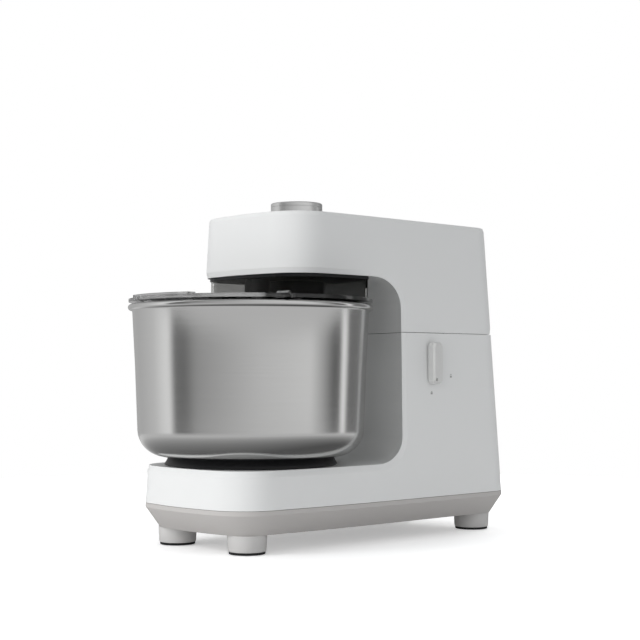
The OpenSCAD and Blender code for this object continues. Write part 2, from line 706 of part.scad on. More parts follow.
// Frame in the head: a plate, the spindle's housing, the shaft's housing and the hinge's cheeks
cheek_x = 42.5;
cheek_t = 7;
shaft_housing_r = 15;
head_bearing_r = 11;
shaft_housing_l = 50;
spindle_low = head_z + 1;
frame_front = 24;
frame_half_w = 66;
module head_frame() color("darkgray") on_table() difference() {
    union() {
        at(-frame_half_w, frame_front, frame_z) cube([2 * frame_half_w, hinge_y - 8 - frame_front, frame_t]);
        at(latch_x - 10, lever_y - 14, frame_z) cube([8, 28, frame_t]);
        at(frame_half_w - 1, lever_y - 14, frame_z) cube([latch_x - frame_half_w - 4, 28, frame_t]);
        at(0, hook_y, spindle_low) cylinder(r = spindle_housing_r, h = frame_z + frame_t + 6 - spindle_low);
        at(0, column_y, frame_z - shaft_housing_l) cylinder(r = shaft_housing_r, h = shaft_housing_l + frame_t);
        both_sides() across_from(cheek_x - cheek_t / 2, cheek_x + cheek_t / 2) {
            polygon([[hinge_y - 36, frame_z + 1], [hinge_y - 4, frame_z + 1], [hinge_y + knuckle_r - 2, hinge_z + 4],
                [hinge_y, hinge_z], [hinge_y - knuckle_r + 1, hinge_z + 4]]);
            at(hinge_y, hinge_z) circle(knuckle_r);
        }
        // Stub that the breaker bar's hub is fixed to
        at(0, breaker_y, head_z - plate_t) cylinder(r = breaker_post_r, h = frame_z + frame_t - head_z + plate_t);
        at(-10, breaker_y - 8, frame_z) cube([20, frame_front - breaker_y + 9, frame_t]);
    }
    at(0, hook_y, spindle_low - 1) cylinder(r = bearing_r - 2, h = 60);
    at(0, hook_y, spindle_low + 2) cylinder(r = bearing_r + seat_gap, h = 60);
    at(0, column_y, frame_z - shaft_housing_l - 1) cylinder(r = head_bearing_r + seat_gap, h = shaft_housing_l + 10);
    at(0, hinge_y, hinge_z) across(2 * pin_end) circle(hinge_pin_r + run_gap);
    both_sides() for (y = frame_boss_ys) at(frame_boss_x, y, frame_z - 1) cylinder(r = screw_r, h = frame_t + 2);
}

// Plate that closes the head's back above the seam
rear_cover_z = seam_z + seam_gap + 3;
module head_rear_cover() color("dimgray") on_table() difference() {
    intersection() {
        rear_block(rear_cover_z, rear_cover_z + 2.5, shell_wall + 0.2);
        at(-side_w, 0, rear_cover_z - 1) cube([2 * side_w, hinge_y - ear_front - 6, 10]);
    }
    cylinder(r = barrel_r + shell_wall + 0.2, h = top_z);
    at(0, column_y, rear_cover_z - 1) cylinder(r = coupling_r + 2, h = 5);
    at(latch_x - 11, lever_y - 12, rear_cover_z - 1) cube([14, 24, 5]);
}

// Black plate under the nose, which the lid's skirt is fixed to
skirt_inset = 5;
skirt_r = 125;
skirt_wall = 2.4;
module under_plan(inset) intersection() {
    polygon(plan(head_z, -nose_front, nose_corner_r, inset));
    circle(skirt_r - (inset - skirt_inset));
}
module head_underplate() color("black") on_table() difference() {
    at(0, 0, head_z - plate_t) linear_extrude(plate_t) under_plan(skirt_inset - 1);
    at(0, hook_y, head_z - plate_t - 1) cylinder(r = spindle_housing_r + side_gap, h = plate_t + 2);
    at(0, breaker_y, head_z - plate_t - 1) cylinder(r = breaker_post_r + seat_gap, h = plate_t + 2);
    both_sides() for (y = frame_boss_ys) at(frame_boss_x, y, head_z - plate_t - 1) cylinder(r = screw_head_r + side_gap, h = plate_t + 2);
}

// Catch on the head frame that the latch's cam holds down, standing beside the cam
catch_t = 4;
module latch_catch() color("gray") on_table()
    across_from(latch_x - 2 - side_gap - catch_t, latch_x - 2 - side_gap) at(lever_y, 0) difference() {
        at(-7, lever_z + 16) square([14, frame_z - lever_z - 16]);
        at(-5, lever_z + 20) square([9, 6]);
    }

// ---- Shaft in the head ----
head_belt_z = frame_z + frame_t + 12;
upper_coupling_z = lower_coupling_z + coupling_t + lug_h + 0.6;
module head_shaft() color("silver") on_table() at(0, column_y, upper_coupling_z)
    cylinder(r = shaft_r, h = head_belt_z + belt_w + 4 - upper_coupling_z);
module head_shaft_bearings() color("silver") on_table()
    for (z = [frame_z - shaft_housing_l, frame_z + frame_t - main_bearing_h])
        at(0, column_y, z) bearing(head_bearing_r, shaft_r + run_gap, main_bearing_h);
module upper_coupling() color("dimgray") on_table() at(0, column_y, upper_coupling_z) rotate(60) coupling_half(false);
module head_pulley() color("dimgray") on_table() at(0, column_y, head_belt_z) pulley(head_pulley_r, shaft_r);
module hook_belt() color("black") on_table() at(0, hook_y, head_belt_z + belt_rise)
    belt(hook_pulley_r, head_pulley_r, column_y - hook_y, $fn = 64);

// ---- Spindle and tools ----
hub_low = lid_z - 3;
module spindle_bearings() color("silver") on_table()
    for (z = [spindle_low + 2, frame_z + frame_t + 6 - bearing_h]) at(0, hook_y, z) bearing(bearing_r, spindle_r + run_gap, bearing_h - 1);
module hook_spindle() color("silver") on_table() at(0, hook_y, hub_low + 8)
    cylinder(r = spindle_r, h = head_belt_z + belt_w + 3 - hub_low - 8);
module hook_pulley() color("dimgray") on_table() at(0, hook_y, head_belt_z) pulley(hook_pulley_r, spindle_r);
module hook_hub() color("black") on_table() at(0, hook_y) difference() {
    union() {
        at(0, 0, hub_low + 4) cylinder(r = hub_r, h = head_z - plate_t - 0.8 - hub_low - 4);
        at(0, 0, hub_low) cylinder(r1 = hub_r - 5, r2 = hub_r, h = 4 + eps);
    }
    at(0, 0, hub_low + 8) cylinder(r = spindle_r, h = 60);
    at(0, 0, hub_low - 1) cylinder(r = hook_rod_r + seat_gap, h = 9);
}

// The hook's rod: out from the foot of its stem to the coil, round the coil as it falls, and a little in
tool_low = bowl_z + bowl_wall + tool_gap;
hook_top = hub_low + 7;
hook_stem = 24;
hook_turns = 1.6;
function ease(t) = t * t * (3 - 2 * t);
function hook_point(t) =
    let (reach = hook_coil_r * (sin(90 * min(1, t / 0.24)) - 0.35 * ease(max(0, (t - 0.88) / 0.12))),
        turn = 360 * hook_turns * t,
        fall = hook_top - hook_stem - hook_rod_r - tool_low)
    [reach * sin(turn), -reach * cos(turn), hook_top - hook_stem - fall * min(1, t / 0.9)];
hook_steps = 72;
hook_sides = 10;
function unit(v) = v / norm(v);
module sweep(points, r, sides) {
    n = len(points);
    rings = [for (i = [0:n - 1])
        let (ahead = unit(points[min(n - 1, i + 1)] - points[max(0, i - 1)]),
            side = unit(cross(ahead, abs(ahead[2]) > 0.999 ? [0, 1, 0] : [0, 0, 1])),
            up = cross(ahead, side))
        for (k = [0:sides - 1]) points[i] + r * (cos(360 * k / sides) * side + sin(360 * k / sides) * up)];
    polyhedron(rings, concat(
        [[for (k = [0:sides - 1]) k]],
        [for (i = [0:n - 2], k = [0:sides - 1]) let (m = (k + 1) % sides)
            [i * sides + k, (i + 1) * sides + k, (i + 1) * sides + m, i * sides + m]],
        [[for (k = [sides - 1:-1:0]) (n - 1) * sides + k]]));
}
module spiral_hook() color("silver") on_table() at(0, hook_y) {
    sweep([for (i = [0:hook_steps]) hook_point(i / hook_steps)], hook_rod_r, hook_sides);
    at(0, 0, hook_top - hook_stem) cylinder(r = hook_rod_r, h = hook_stem);
    at(0, 0, hook_top - hook_stem) sphere(hook_rod_r);
}

breaker_post_r = 9;
breaker_hub_r = 13.4;
module breaker_hub() color("gray") on_table() at(0, breaker_y) difference() {
    union() {
        at(0, 0, hub_low + 4) cylinder(r = breaker_hub_r, h = head_z - plate_t - hub_low - 4);
        at(0, 0, hub_low) cylinder(r1 = breaker_hub_r - 3, r2 = breaker_hub_r, h = 4 + eps);
    }
    at(0, 0, hub_low - 1) cylinder(r = breaker_r + seat_gap, h = 16);
}
module breaker_bar() color("silver") on_table() at(0, breaker_y) {
    at(0, 0, tool_low + breaker_r) cylinder(r = breaker_r, h = hub_low + 14 - tool_low - breaker_r);
    at(0, 0, tool_low + breaker_r) sphere(breaker_r);
}

// ---- Clear lid ----
lid_bead_r = 126;
lid_bead_h = 1.2;
hub_hole_gap = 2;
flap_pin_r = 1.2;
knuckle_x = 112;
knuckle_l = 12;
lid_knuckle_r = 2.6;
ear_l = 6;
flap_pin_z = lid_top + lid_bead_h;
flap_gap = 1;
module lid_disc() {
    at(0, 0, lid_z) cylinder(r = lid_r, h = lid_t);
    at(0, 0, lid_z) cylinder(r = lid_bead_r, h = lid_t + lid_bead_h);
}
module flap_side(back) at(-lid_r - 5, back ? -flap_line : -lid_r - 40, lid_z - 2)
    cube([2 * lid_r + 10, back ? 2 * lid_r : lid_r + 40 - flap_line - flap_gap, 30]);
// A round bar along X on the flap's pin, on both sides, from x over a length
module on_pin(x, l, r) both_sides() at(x, -flap_line, flap_pin_z) rotate([0, 90, 0]) cylinder(r = r, h = l);
module lid_plate() color("lightgray", 0.4) on_table() difference() {
    union() {
        intersection() { lid_disc(); flap_side(true); }
        on_pin(knuckle_x - knuckle_l / 2, knuckle_l, lid_knuckle_r);
    }
    at(0, hook_y, lid_z - 1) cylinder(r = hub_r + hub_hole_gap, h = 20);
    at(0, breaker_y, lid_z - 1) cylinder(r = breaker_hub_r + side_gap, h = 20);
    on_pin(knuckle_x - knuckle_l, 2 * knuckle_l, flap_pin_r + run_gap);
    // Room for the flap's ears
    on_pin(knuckle_x - knuckle_l / 2 - ear_l - side_gap, ear_l + side_gap / 2, lid_knuckle_r + side_gap);
}
module lid_skirt() color("lightgray", 0.4) on_table() at(0, 0, lid_top + lid_bead_h)
    linear_extrude(head_z - plate_t - lid_top - lid_bead_h) difference() {
    under_plan(skirt_inset);
    under_plan(skirt_inset + skirt_wall);
}
flap_tab_h = 2.8;
module lid_flap() color("lightgray", 0.4) on_table() difference() {
    union() {
        intersection() { lid_disc(); flap_side(false); }
        // Raised finger tab along the front edge
        at(0, 0, lid_top - 1) intersection() {
            tube(lid_r - 0.4, lid_r - 9, flap_tab_h + 1);
            at(-46, -lid_r - 1) cube([92, 40, 20]);
        }
        // Ears that hold the pins beside the knuckles
        on_pin(knuckle_x - knuckle_l / 2 - ear_l, ear_l - side_gap, lid_knuckle_r);
        both_sides() at(knuckle_x - knuckle_l / 2 - ear_l, -flap_line - ear_l, flap_pin_z - lid_knuckle_r)
            cube([ear_l - side_gap, ear_l, lid_knuckle_r]);
    }
    on_pin(knuckle_x - knuckle_l - 8, 2 * knuckle_l, flap_pin_r + seat_gap);
    // Room for the lid's knuckles
    on_pin(knuckle_x - knuckle_l / 2 - side_gap, knuckle_l + 20, lid_knuckle_r + side_gap);
}
module flap_pins() color("silver") on_table() on_pin(knuckle_x - knuckle_l / 2 - ear_l + 1, knuckle_l + 4, flap_pin_r);

// ---- Control knob ----
stem_r = 3;
board_t = 1.6;
board_z = top_z - shell_wall - 12 - board_t;
encoder_h = 9;
knob_press = 1.5;
ring_h = 2.2;
module control_board() color("darkgreen") on_table() difference() {
    at(-30, knob_y - 24, board_z) cube([60, 48, board_t]);
    both_sides() for (y = [-1, 1]) at(26, knob_y + 20 * y, board_z - 1) cylinder(r = 1.5, h = board_t + 2);
}
module knob_encoder() color("gray") on_table() difference() {
    union() {
        at(-8, knob_y - 8, board_z + board_t) cube([16, 16, encoder_h]);
        at(0, knob_y, board_z + board_t) cylinder(r = stem_r + 1.5 - side_gap / 2, h = top_z - board_z - board_t);
    }
    at(0, knob_y, board_z + board_t + 2) cylinder(r = stem_r + run_gap, h = 40);
}
module knob_stem() color("silver") on_table() at(0, knob_y, board_z + board_t + 2 + knob_press + 0.3)
    cylinder(r = stem_r, h = top_z + ring_h + 8 - board_z - board_t - 2 - knob_press - 0.3);
module knob_ring() color("dimgray") on_table() at(0, knob_y, top_z) tube(knob_r - 1.5, stem_r + 2, ring_h);
knob_gap = knob_press + 0.4;
module knob() color("silver") on_table() at(0, knob_y, top_z + ring_h) difference() {
    union() {
        at(0, 0, knob_gap) cylinder(r = knob_r, h = knob_h - knob_gap - 1);
        at(0, 0, knob_h - 1 - eps) cylinder(r1 = knob_r, r2 = knob_r - 1, h = 1);
    }
    at(0, 0, knob_h - 0.8) cylinder(r = knob_r - 4, h = 2);
    at(0, 0, knob_gap - 1) cylinder(r = knob_r - 3, h = 4);
    at(0, 0, 0) cylinder(r = stem_r + run_gap, h = 8.2);
}

body_shell();
base_pan();
feet();
foot_pads();
foot_screws();
pan_screws();
cord_inlet();
chassis();
chassis_screws();
bowl_bearing_housing();
bowl_bearings();
motor_can();
motor_end_plate();
motor_screws();
motor_rotor();
main_shaft();
main_bearing();
main_pulley();
lower_coupling();
bowl_belt();
bowl_spindle();
bowl_pulley();
turntable();
bowl_lock_ring();
bowl();
hinge_bracket();
hinge_pin();
pin_clips();
lever_bush();
lever_shaft();
latch_cam();
lock_lever();
head_shell();
head_frame();
frame_screws();
head_rear_cover();
head_underplate();
latch_catch();
head_shaft();
head_shaft_bearings();
upper_coupling();
head_pulley();
hook_belt();
spindle_bearings();
hook_spindle();
hook_pulley();
hook_hub();
spiral_hook();
breaker_hub();
breaker_bar();
lid_plate();
lid_skirt();
lid_flap();
flap_pins();
control_board();
knob_encoder();
knob_stem();
knob_ring();
knob();
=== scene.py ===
import math

import bpy
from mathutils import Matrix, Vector


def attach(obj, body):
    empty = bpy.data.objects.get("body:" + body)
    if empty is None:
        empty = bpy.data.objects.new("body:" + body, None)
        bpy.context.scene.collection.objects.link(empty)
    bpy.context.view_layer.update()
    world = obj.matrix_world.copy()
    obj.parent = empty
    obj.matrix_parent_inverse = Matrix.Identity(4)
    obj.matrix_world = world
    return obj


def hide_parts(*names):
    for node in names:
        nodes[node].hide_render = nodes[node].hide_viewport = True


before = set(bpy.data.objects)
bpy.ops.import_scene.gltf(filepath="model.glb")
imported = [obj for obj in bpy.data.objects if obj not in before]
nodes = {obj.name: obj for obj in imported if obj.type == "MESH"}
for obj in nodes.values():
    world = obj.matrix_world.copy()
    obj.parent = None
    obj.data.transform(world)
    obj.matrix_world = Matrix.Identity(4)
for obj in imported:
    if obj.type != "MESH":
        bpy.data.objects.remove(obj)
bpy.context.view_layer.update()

# ---- Camera and studio ----
# A level camera a little above the worktop, off the front corner on the lever's side.
# Its lens is shifted up so that the machine's uprights stay upright.
bpy.ops.object.select_all(action="DESELECT")
camera_data = bpy.data.cameras.new("camera")
camera_data.lens = 79.09
camera_data.sensor_width = 36
camera_data.shift_y = 0.0789
camera_data.clip_start = 0.05
camera = bpy.data.objects.new("camera", camera_data)
bpy.context.scene.collection.objects.link(camera)
camera.location = (1.146687, -1.076896, 0.185924)
camera.rotation_euler = Vector((-0.7270, 0.6866, 0)).to_track_quat("-Z", "Y").to_euler()
bpy.context.scene.camera = camera
bpy.context.scene.view_settings.view_transform = "Standard"


def add_node(tree, kind, operation=None, **values):
    """A new shader node in a tree, with its operation and the named sockets set"""
    node = tree.nodes.new("ShaderNode" + kind)
    if operation:
        node.operation = operation
    for socket, value in values.items():
        node.inputs[socket.replace("_", " ")].default_value = value
    return node


# The world lights the machine softly and is white where it is seen, also through the clear lid.
world = bpy.data.worlds.new("studio")
bpy.context.scene.world = world
world.use_nodes = True
room = world.node_tree
room.nodes.clear()
path = add_node(room, "LightPath")
seen = add_node(room, "Math", "MAXIMUM")
soft = add_node(room, "Background", Color=(0.96, 0.98, 1, 1), Strength=0.35)
white_room = add_node(room, "Background", Color=(1, 1, 1, 1), Strength=1.0)

# Metal shows it as a room whose walls change by the compass: a strip light on the left and one at the
# back right, each beside a dark gap, and a broad pale wall from the front round to the right.
left_strip = ((-180, 0.6), (-150, 0.8), (-128, 1.2), (-121, 0.22), (-108, 0.22))
pale_wall = ((-95, 0.45), (-30, 0.8), (20, 0.95))
back_strip = ((48, 0.16), (58, 0.16), (60, 1.3), (66, 1.3), (70, 0.2), (110, 0.3), (180, 0.6))
wall_levels = left_strip + pale_wall + back_strip
brightest = 1.3
compass = add_node(room, "TexCoord")
bearing = add_node(room, "SeparateXYZ")
turn = add_node(room, "Math", "ARCTAN2")
degrees = add_node(room, "Math", "DEGREES")
round_share = add_node(room, "MapRange", From_Min=-180, From_Max=180)
walls = add_node(room, "ValToRGB")
ramp = walls.color_ramp
while len(ramp.elements) < len(wall_levels):
    ramp.elements.new(1.0)
for stop, (angle, level) in zip(ramp.elements, wall_levels):
    stop.position = (angle + 180) / 360
    stop.color = (level / brightest, level / brightest, level / brightest, 1)
pale_walls = add_node(room, "Background", Strength=brightest)
in_metal = add_node(room, "MixShader")
mix = add_node(room, "MixShader")
out = add_node(room, "OutputWorld")
link = room.links.new
link(compass.outputs["Generated"], bearing.inputs["Vector"])
link(bearing.outputs["Y"], turn.inputs[0])
link(bearing.outputs["X"], turn.inputs[1])
link(turn.outputs[0], degrees.inputs[0])
link(degrees.outputs[0], round_share.inputs["Value"])
link(round_share.outputs["Result"], walls.inputs["Fac"])
link(walls.outputs["Color"], pale_walls.inputs["Color"])
link(path.outputs["Is Glossy Ray"], in_metal.inputs["Fac"])
link(soft.outputs[0], in_metal.inputs[1])
link(pale_walls.outputs[0], in_metal.inputs[2])
link(path.outputs["Is Camera Ray"], seen.inputs[0])
link(path.outputs["Is Transmission Ray"], seen.inputs[1])
link(seen.outputs[0], mix.inputs["Fac"])
link(in_metal.outputs[0], mix.inputs[1])
link(white_room.outputs[0], mix.inputs[2])
link(mix.outputs[0], out.inputs["Surface"])


def soft_lamp(name, place, target, size, power):
    """A broad soft light at a place, turned to a target, that neither the camera nor metal sees"""
    data = bpy.data.lights.new(name, "AREA")
    data.shape = "RECTANGLE"
    data.size, data.size_y = size
    data.energy = power
    lamp = bpy.data.objects.new(name, data)
    bpy.context.scene.collection.objects.link(lamp)
    lamp.location = place
    lamp.rotation_euler = (Vector(target) - Vector(place)).to_track_quat("-Z", "Y").to_euler()
    lamp.visible_camera = lamp.visible_glossy = False


soft_lamp("key", (-0.50, -1.98, 0.75), (0, -0.09, 0.15), (0.6, 1.6), 20.5)
soft_lamp("front_fill", (0.95, -1.74, 0.6), (0, -0.09, 0.15), (1.0, 1.4), 7)
soft_lamp("side_fill", (1.90, -0.20, 0.6), (0, -0.05, 0.15), (1.4, 1.4), 2.4)
soft_lamp("edge", (0.92, 1.57, 0.7), (0, -0.09, 0.15), (0.35, 1.6), 2.5)
soft_lamp("top", (0.0, 0.0, 1.7), (0, 0, 0.2), (1.2, 1.2), 3)
soft_lamp("back", (-0.7, 1.9, 0.8), (0, 0, 0.15), (1.2, 1.2), 12)

# The floor is a pale sheet that keeps the machine's soft shadow. Away from the machine it glows up
# to white, so that no horizon shows; its weaker glow close by is painted shade that deepens the
# shadow. Metal sees only a dimmer glow, darkest close by, which is a painted shadow in its reflections.
bpy.ops.mesh.primitive_circle_add(vertices=96, radius=1.0, fill_type="NGON", location=(0, 0, -0.0005))
floor = bpy.context.object
floor.name = "floor"
paper = bpy.data.materials.new("white_paper_floor")
paper.use_nodes = True
sheet = paper.node_tree
matt = sheet.nodes["Principled BSDF"]
matt.inputs["Base Color"].default_value = (1, 1, 1, 1)
matt.inputs["Roughness"].default_value = 0.9
sheet_path = add_node(sheet, "LightPath")
sheet_place = add_node(sheet, "TexCoord")
away = add_node(sheet, "VectorMath", "LENGTH")
# Painted shade: the glow toward the camera is weakest close to the machine, darkening the floor round it.
floor_glow_painted_shade = add_node(sheet, "MapRange", From_Min=0.15, From_Max=0.8, To_Min=0.36, To_Max=1.0)
to_camera = add_node(sheet, "Math", "MULTIPLY")
glow = add_node(sheet, "Emission")
lit = add_node(sheet, "AddShader")
# Painted shadow: steel sees this glow in place of the lit floor, dimmest close to the machine.
steel_glow_painted_shadow = add_node(sheet, "MapRange", From_Min=0.18, From_Max=0.6, To_Min=0.13, To_Max=0.75)
floor_in_steel_painted = add_node(sheet, "Emission")
steel_mix = add_node(sheet, "MixShader")
link = sheet.links.new
link(sheet_place.outputs["Object"], away.inputs[0])
link(away.outputs["Value"], floor_glow_painted_shade.inputs["Value"])
link(sheet_path.outputs["Is Camera Ray"], to_camera.inputs[0])
link(floor_glow_painted_shade.outputs["Result"], to_camera.inputs[1])
link(to_camera.outputs[0], glow.inputs["Strength"])
link(matt.outputs[0], lit.inputs[0])
link(glow.outputs[0], lit.inputs[1])
link(away.outputs["Value"], steel_glow_painted_shadow.inputs["Value"])
link(steel_glow_painted_shadow.outputs["Result"], floor_in_steel_painted.inputs["Strength"])
link(sheet_path.outputs["Is Glossy Ray"], steel_mix.inputs["Fac"])
link(lit.outputs[0], steel_mix.inputs[1])
link(floor_in_steel_painted.outputs[0], steel_mix.inputs[2])
link(steel_mix.outputs[0], sheet.nodes["Material Output"].inputs["Surface"])
floor.data.materials.append(paper)

# ---- White casing of the base, the column and the head ----
# Two powder coated metal shells that meet at one thin seam under the head. They have full front
# corners, slightly hollow sides and rounded rear corners, and lean in a little toward the top. A
# narrow sloping edge runs round the base and up the round opening that the bowl stands in.
bowl_y = -0.0955
casing_z = 0.046
base_z = 0.0853
seam_z = 0.2275
head_z = 0.2873
top_z = 0.3519
seam_gap = 0.0006
wall = 0.003
casing_half_w, side_draft = 0.1, 0.046
rear_reach, rear_draft, rear_corner = 0.322, 0.05, 0.038
side_hollow, hollow_reach = 0.27, 0.1
front_bow = 0.0035
base_front, base_corner, base_lean = bowl_y - 0.0983, 0.05, 0.0015
nose_front, nose_corner, nose_lean = bowl_y - 0.018, 0.045, 0.0018
column_front, column_corner = bowl_y + 0.078, 0.012
base_edge, base_edge_in = 0.0063, 0.0018
head_edge, head_edge_in = 0.0057, 0.0013
top_rounding = ((0.0042, 0), (0.0007, 0.0009), (0.0003, 0.0012), (0, 0.0018))
barrel_r, barrel_low_r, barrel_high_r = 0.1655, 0.029, 0.034


def half_width(z):
    """Half the casing's width at a height, where its sides are straight"""
    return casing_half_w - side_draft * (z - casing_z)


def rear_y(z):
    """How far back the casing reaches at a height"""
    return bowl_y + rear_reach - rear_draft * (z - casing_z)


def side_x(z, y):
    """The casing's side at a height and a depth, drawn in toward the front"""
    return half_width(z) - side_hollow * max(0, bowl_y + hollow_reach - y) ** 2


def arc(x, y, radius, start, end, steps=16):
    """Points along an arc, between two angles in degrees"""
    angles = [math.radians(start + (end - start) * i / steps) for i in range(steps + 1)]
    return [(x + radius * math.cos(a), y + radius * math.sin(a)) for a in angles]


def plan(z, front, corner, inset=0):
    """The casing's outline at a height, from the middle of the front right round to it again"""
    corner_y = front + front_bow + corner
    corner_x = side_x(z, corner_y) - corner
    half = [(corner_x * i / 6, front + front_bow * (i / 6) ** 2 + inset) for i in range(6)]
    half += arc(corner_x, corner_y, corner - inset, -90, 0)
    straight_y = max(bowl_y + hollow_reach, corner_y + 0.004)
    for i in range(1, 9):
        y = corner_y + (straight_y - corner_y) * i / 8
        half.append((side_x(z, y) - inset, y))
    half += arc(half_width(z) - rear_corner, rear_y(z) - rear_corner, rear_corner - inset, 0, 90)
    return [(x, y, z) for x, y in half + [(-x, y) for x, y in half[:0:-1]]]


def ring(name, points, fill="NGON"):
    """A new piece, started as a circle whose corners are drawn out to the given points"""
    bpy.ops.object.select_all(action="DESELECT")
    bpy.ops.mesh.primitive_circle_add(vertices=len(points), radius=0.01, fill_type=fill)
    piece = bpy.context.object
    piece.name = piece.data.name = name
    for corner, point in zip(piece.data.vertices, points):
        corner.co = point
    return piece


def choose(piece):
    """Makes a piece the only one selected"""
    bpy.ops.object.select_all(action="DESELECT")
    piece.select_set(True)
    bpy.context.view_layer.objects.active = piece


def edit(piece, kind="FACE"):
    """Opens a piece in edit mode with all its edges or all its faces selected"""
    choose(piece)
    bpy.context.tool_settings.mesh_select_mode = (False, kind == "EDGE", kind == "FACE")
    bpy.ops.object.mode_set(mode="EDIT")
    bpy.ops.mesh.select_all(action="SELECT")


def close(piece):
    """Merges what coincides, turns the faces outwards and leaves edit mode"""
    bpy.ops.mesh.select_all(action="SELECT")
    bpy.ops.mesh.remove_doubles(threshold=1e-6)
    bpy.ops.mesh.delete_loose()
    bpy.ops.mesh.select_all(action="SELECT")
    bpy.ops.mesh.normals_make_consistent(inside=False)
    bpy.ops.object.mode_set(mode="OBJECT")
    return piece


def stack(name, levels):
    """A closed solid whose outline is extruded from each level to the next"""
    piece = ring(name, levels[0])
    corners = list(range(len(levels[0])))
    edit(piece)
    for level in levels[1:]:
        bpy.ops.mesh.extrude_region_move()
        bpy.ops.object.mode_set(mode="OBJECT")
        mesh = piece.data.vertices
        below = {tuple(mesh[c].co): i for i, c in enumerate(corners)}
        new = range(len(mesh) - len(level), len(mesh))
        corners = sorted(new, key=lambda c: below[tuple(mesh[c].co)])
        for c, point in zip(corners, level):
            mesh[c].co = point
        bpy.ops.object.mode_set(mode="EDIT")
    return close(piece)


def turned(name, profile, y=bowl_y, steps=96):
    """A closed outline of (radius, height) spun round an upright axis"""
    piece = ring(name, [(r, y, z) for r, z in profile], fill="NOTHING")
    edit(piece, "EDGE")
    bpy.ops.mesh.spin(steps=steps, angle=math.tau, center=(0, y, 0), axis=(0, 0, 1))
    return close(piece)


def carve(piece, tool, operation="DIFFERENCE"):
    """Cuts or joins a piece with another, which is used up"""
    modifier = piece.modifiers.new("carve", "BOOLEAN")
    modifier.operation = operation
    modifier.solver = "MANIFOLD"
    modifier.object = tool
    choose(piece)
    bpy.ops.object.modifier_apply(modifier=modifier.name)
    bpy.data.objects.remove(tool)
    return piece


def barrel(grow=0):
    """The round space that the bowl stands in"""
    radius, low, high = barrel_r + grow, barrel_low_r + grow, barrel_high_r + grow
    return turned("barrel", [(0, base_z - grow)]
                  + arc(radius - low, base_z - grow + low, low, -90, 0, 10)
                  + arc(radius - high, head_z + grow - high, high, 0, 90, 12)
                  + [(0, head_z + grow)], steps=160)


def rear_plan(z, inset=0):
    """The column's outline at a height"""
    return plan(z, column_front, column_corner, inset)


def blocks(inset):
    """The base, the column and the head as three solids in one, all smaller by a wall's thickness"""
    below = 0.001 if inset else 0
    base = stack("white_casing", [
        plan(casing_z - below, base_front, base_corner, inset),
        plan(base_z - base_edge - inset / 2, base_front + base_lean, base_corner, inset),
        plan(base_z - inset, base_front + base_lean, base_corner, base_edge_in + inset)])
    head = stack("head", [
        plan(head_z + inset, nose_front, nose_corner, head_edge_in + inset),
        plan(head_z + head_edge + inset / 2, nose_front, nose_corner, inset)]
        + [plan(top_z - down - inset, nose_front + nose_lean, nose_corner, inset + inward)
           for down, inward in top_rounding])
    column = stack("column", [rear_plan(base_z - base_edge - inset / 2, inset),
                              rear_plan(head_z + head_edge + inset / 2, inset)])
    carve(base, column, "UNION")
    carve(base, head, "UNION")
    return base


def opening_edge(side):
    """A cutter for the sloping edge of the opening, on one side"""
    profile = arc(barrel_r - barrel_low_r, base_z + barrel_low_r, barrel_low_r, -90, 0, 14)
    profile += arc(barrel_r - barrel_high_r, head_z - barrel_high_r, barrel_high_r, 0, 90, 16)
    along = []
    for r, z in profile:
        share = (z - base_z) / (head_z - base_z)
        depth = base_edge_in + (head_edge_in - base_edge_in) * share
        x = half_width(z) - depth
        along.append((math.sqrt(r * r - x * x) + bowl_y, z, base_edge + (head_edge - base_edge) * share, x))
    end_y = bowl_y + 0.070
    along = [(end_y, base_z, base_edge, along[0][3])] + along + [(end_y, head_z, head_edge, along[-1][3])]
    inner, outer, far = [], [], []
    beyond_inner, beyond_outer, outside_x = 0.4, 0.3, 0.13
    for i, (y, z, width, x) in enumerate(along):
        before, after = along[max(i - 1, 0)], along[min(i + 1, len(along) - 1)]
        dy, dz = after[0] - before[0], after[1] - before[1]
        if i < 2:
            dy, dz = 1, 0
        if i >= len(along) - 2:
            dy, dz = -1, 0
        length = math.hypot(dy, dz)
        out_y, out_z = y + width * dz / length, z - width * dy / length
        step_x, step_y, step_z = half_width(out_z) - x, out_y - y, out_z - z
        near_x = side * (x - beyond_inner * step_x)
        far_x = side * (half_width(out_z) + beyond_outer * step_x)
        far_y, far_z = out_y + beyond_outer * step_y, out_z + beyond_outer * step_z
        inner.append((near_x, y - beyond_inner * step_y, z - beyond_inner * step_z))
        outer.append((far_x, far_y, far_z))
        far.append((side * outside_x, far_y, far_z))
    return stack("opening_edge", [inner, outer, far])


casing = blocks(0)
carve(casing, barrel())
for side in (1, -1):
    carve(casing, opening_edge(side))


def split(piece, name, z, keep_above):
    """A copy of a solid, cut through level at a height and closed there"""
    half = piece.copy()
    half.data = piece.data.copy()
    half.name = half.data.name = name
    bpy.context.scene.collection.objects.link(half)
    edit(half)
    bpy.ops.mesh.bisect(plane_co=(0, 0, z), plane_no=(0, 0, 1), use_fill=True,
                        clear_inner=keep_above, clear_outer=not keep_above)
    return close(half)


def box(name, low, high):
    """A block between two corners"""
    bpy.ops.object.select_all(action="DESELECT")
    bpy.ops.mesh.primitive_cube_add(size=1)
    block = bpy.context.object
    block.name = name
    block.location = (Vector(low) + Vector(high)) / 2
    block.scale = Vector(high) - Vector(low)
    bpy.ops.object.transform_apply(location=True, rotation=True, scale=True)
    return block


def rod(name, start, end, radius, corners=48):
    """A round bar between two points"""
    bpy.ops.object.select_all(action="DESELECT")
    start, end = Vector(start), Vector(end)
    bpy.ops.mesh.primitive_cylinder_add(vertices=corners, radius=radius, depth=(end - start).length)
    bar = bpy.context.object
    bar.name = name
    bar.location = (start + end) / 2
    bar.rotation_euler = (end - start).to_track_quat("Z", "Y").to_euler()
    bpy.ops.object.transform_apply(location=True, rotation=True, scale=True)
    return bar


rounding_y, rounding_run, stand_off = 0.196, 0.012, 0.0003
corner_rounding = ((-0.002, 0.0062), (0.0006, 0.0060), (0.0012, 0.0046), (0.0024, 0.0031),
                   (0.0042, 0.0017), (0.0064, 0.0007), (0.0088, 0.0001))


